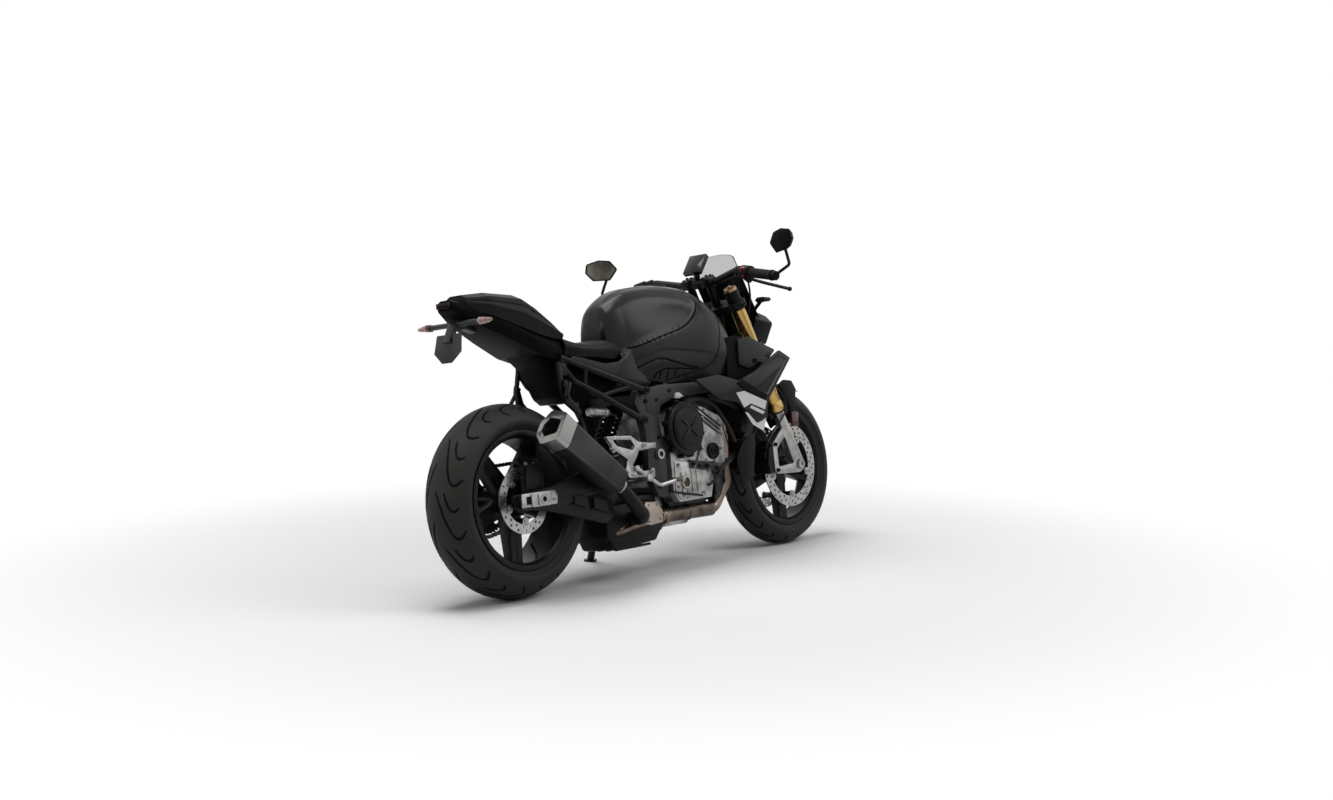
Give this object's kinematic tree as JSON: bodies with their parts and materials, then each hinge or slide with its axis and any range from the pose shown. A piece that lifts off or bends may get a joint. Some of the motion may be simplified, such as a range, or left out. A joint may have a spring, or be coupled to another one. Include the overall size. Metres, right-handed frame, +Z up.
{
  "type": "standard motorcycle",
  "caption": "Naked road motorcycle leaning on its side stand, with an upside-down fork and a short side silencer; the wheels turn, the handlebar steers and the stand folds up.",
  "frame": {"origin": "on the ground at the middle of the bounding box, as parked on the side stand", "axes": "+X forward, +Y to the rider's left, +Z up"},
  "size_m": [2.0684, 0.9943, 1.2148],
  "materials": {
    "tyre": "matt black rubber",
    "rim": "satin black",
    "disc": "ground steel",
    "steel": "bare steel",
    "black_metal": "satin black",
    "frame": "satin grey",
    "cast": "cast silver",
    "exhaust": "heat-tinted steel",
    "paint": "dark grey gloss",
    "seat": "grained black",
    "plastic": "matt black",
    "lamp": "clear pinkish",
    "gold": "gold anodised",
    "silver": "satin silver",
    "rubber": "matt black",
    "screen": "smoked clear",
    "display": "black gloss"
  },
  "bodies": {
    "chassis": {"clutch_cover": "black_metal", "crankcase": "cast", "cylinder_head": "cast", "drive_chain": "steel", "exhaust_box": "exhaust", "exhaust_headers": "exhaust", "footrests": "silver", "front_sprocket": "steel", "fuel_tank": "paint", "left_engine_covers": "black_metal", "main_frame": "frame", "pillion_footrests": "black_metal", "pillion_seat": "seat", "plate_holder": "plastic", "radiator": "black_metal", "radiator_shrouds": "paint", "rear_axle": "silver", "rear_caliper": "black_metal", "rear_lamps": "lamp", "rear_shock": "black_metal", "rear_subframe": "black_metal", "rider_seat": "seat", "silencer": "black_metal", "swingarm": "black_metal", "tail_cover": "plastic", "tank_side_panels": "paint", "undertray": "plastic"},
    "steering": {"fork_tubes": "gold", "fork_legs": "silver", "front_axle": "silver", "front_calipers": "black_metal", "triple_clamps": "black_metal", "handlebar": "black_metal", "grips": "rubber", "hand_controls": "plastic", "levers": "black_metal", "mirrors": "plastic", "headlamp": "plastic", "windscreen": "screen", "display": "display", "front_mudguard": "plastic", "brake_hoses": "rubber"},
    "front_wheel": {"front_tyre": "tyre", "front_rim": "rim", "front_discs": "disc"},
    "rear_wheel": {"rear_tyre": "tyre", "rear_rim": "rim", "rear_disc": "disc", "rear_sprocket": "steel"},
    "side_stand": {"side_stand": "black_metal"}
  },
  "joints": [
    {"name": "steering_turn", "type": "hinge", "parent": "chassis", "child": "steering", "pos_m": [0.46079, -0.04032, 0.81668], "axis": [-0.4097, 0.1238, 0.9038], "range_deg": [-28, 28]},
    {"name": "front_wheel_spin", "type": "hinge", "parent": "steering", "child": "front_wheel", "pos_m": [0.7348, -0.11139, 0.29781], "axis": [0, 0.9907, -0.1357], "continuous": true},
    {"name": "rear_wheel_spin", "type": "hinge", "parent": "chassis", "child": "rear_wheel", "pos_m": [-0.7152, -0.10867, 0.31803], "axis": [0, 0.9907, -0.1357], "continuous": true},
    {"name": "side_stand_fold", "type": "hinge", "parent": "chassis", "child": "side_stand", "pos_m": [-0.11222, 0.03547, 0.21333], "axis": [0.0001, 0.9764, 0.2162], "range_deg": [0, 109]}
  ]
}
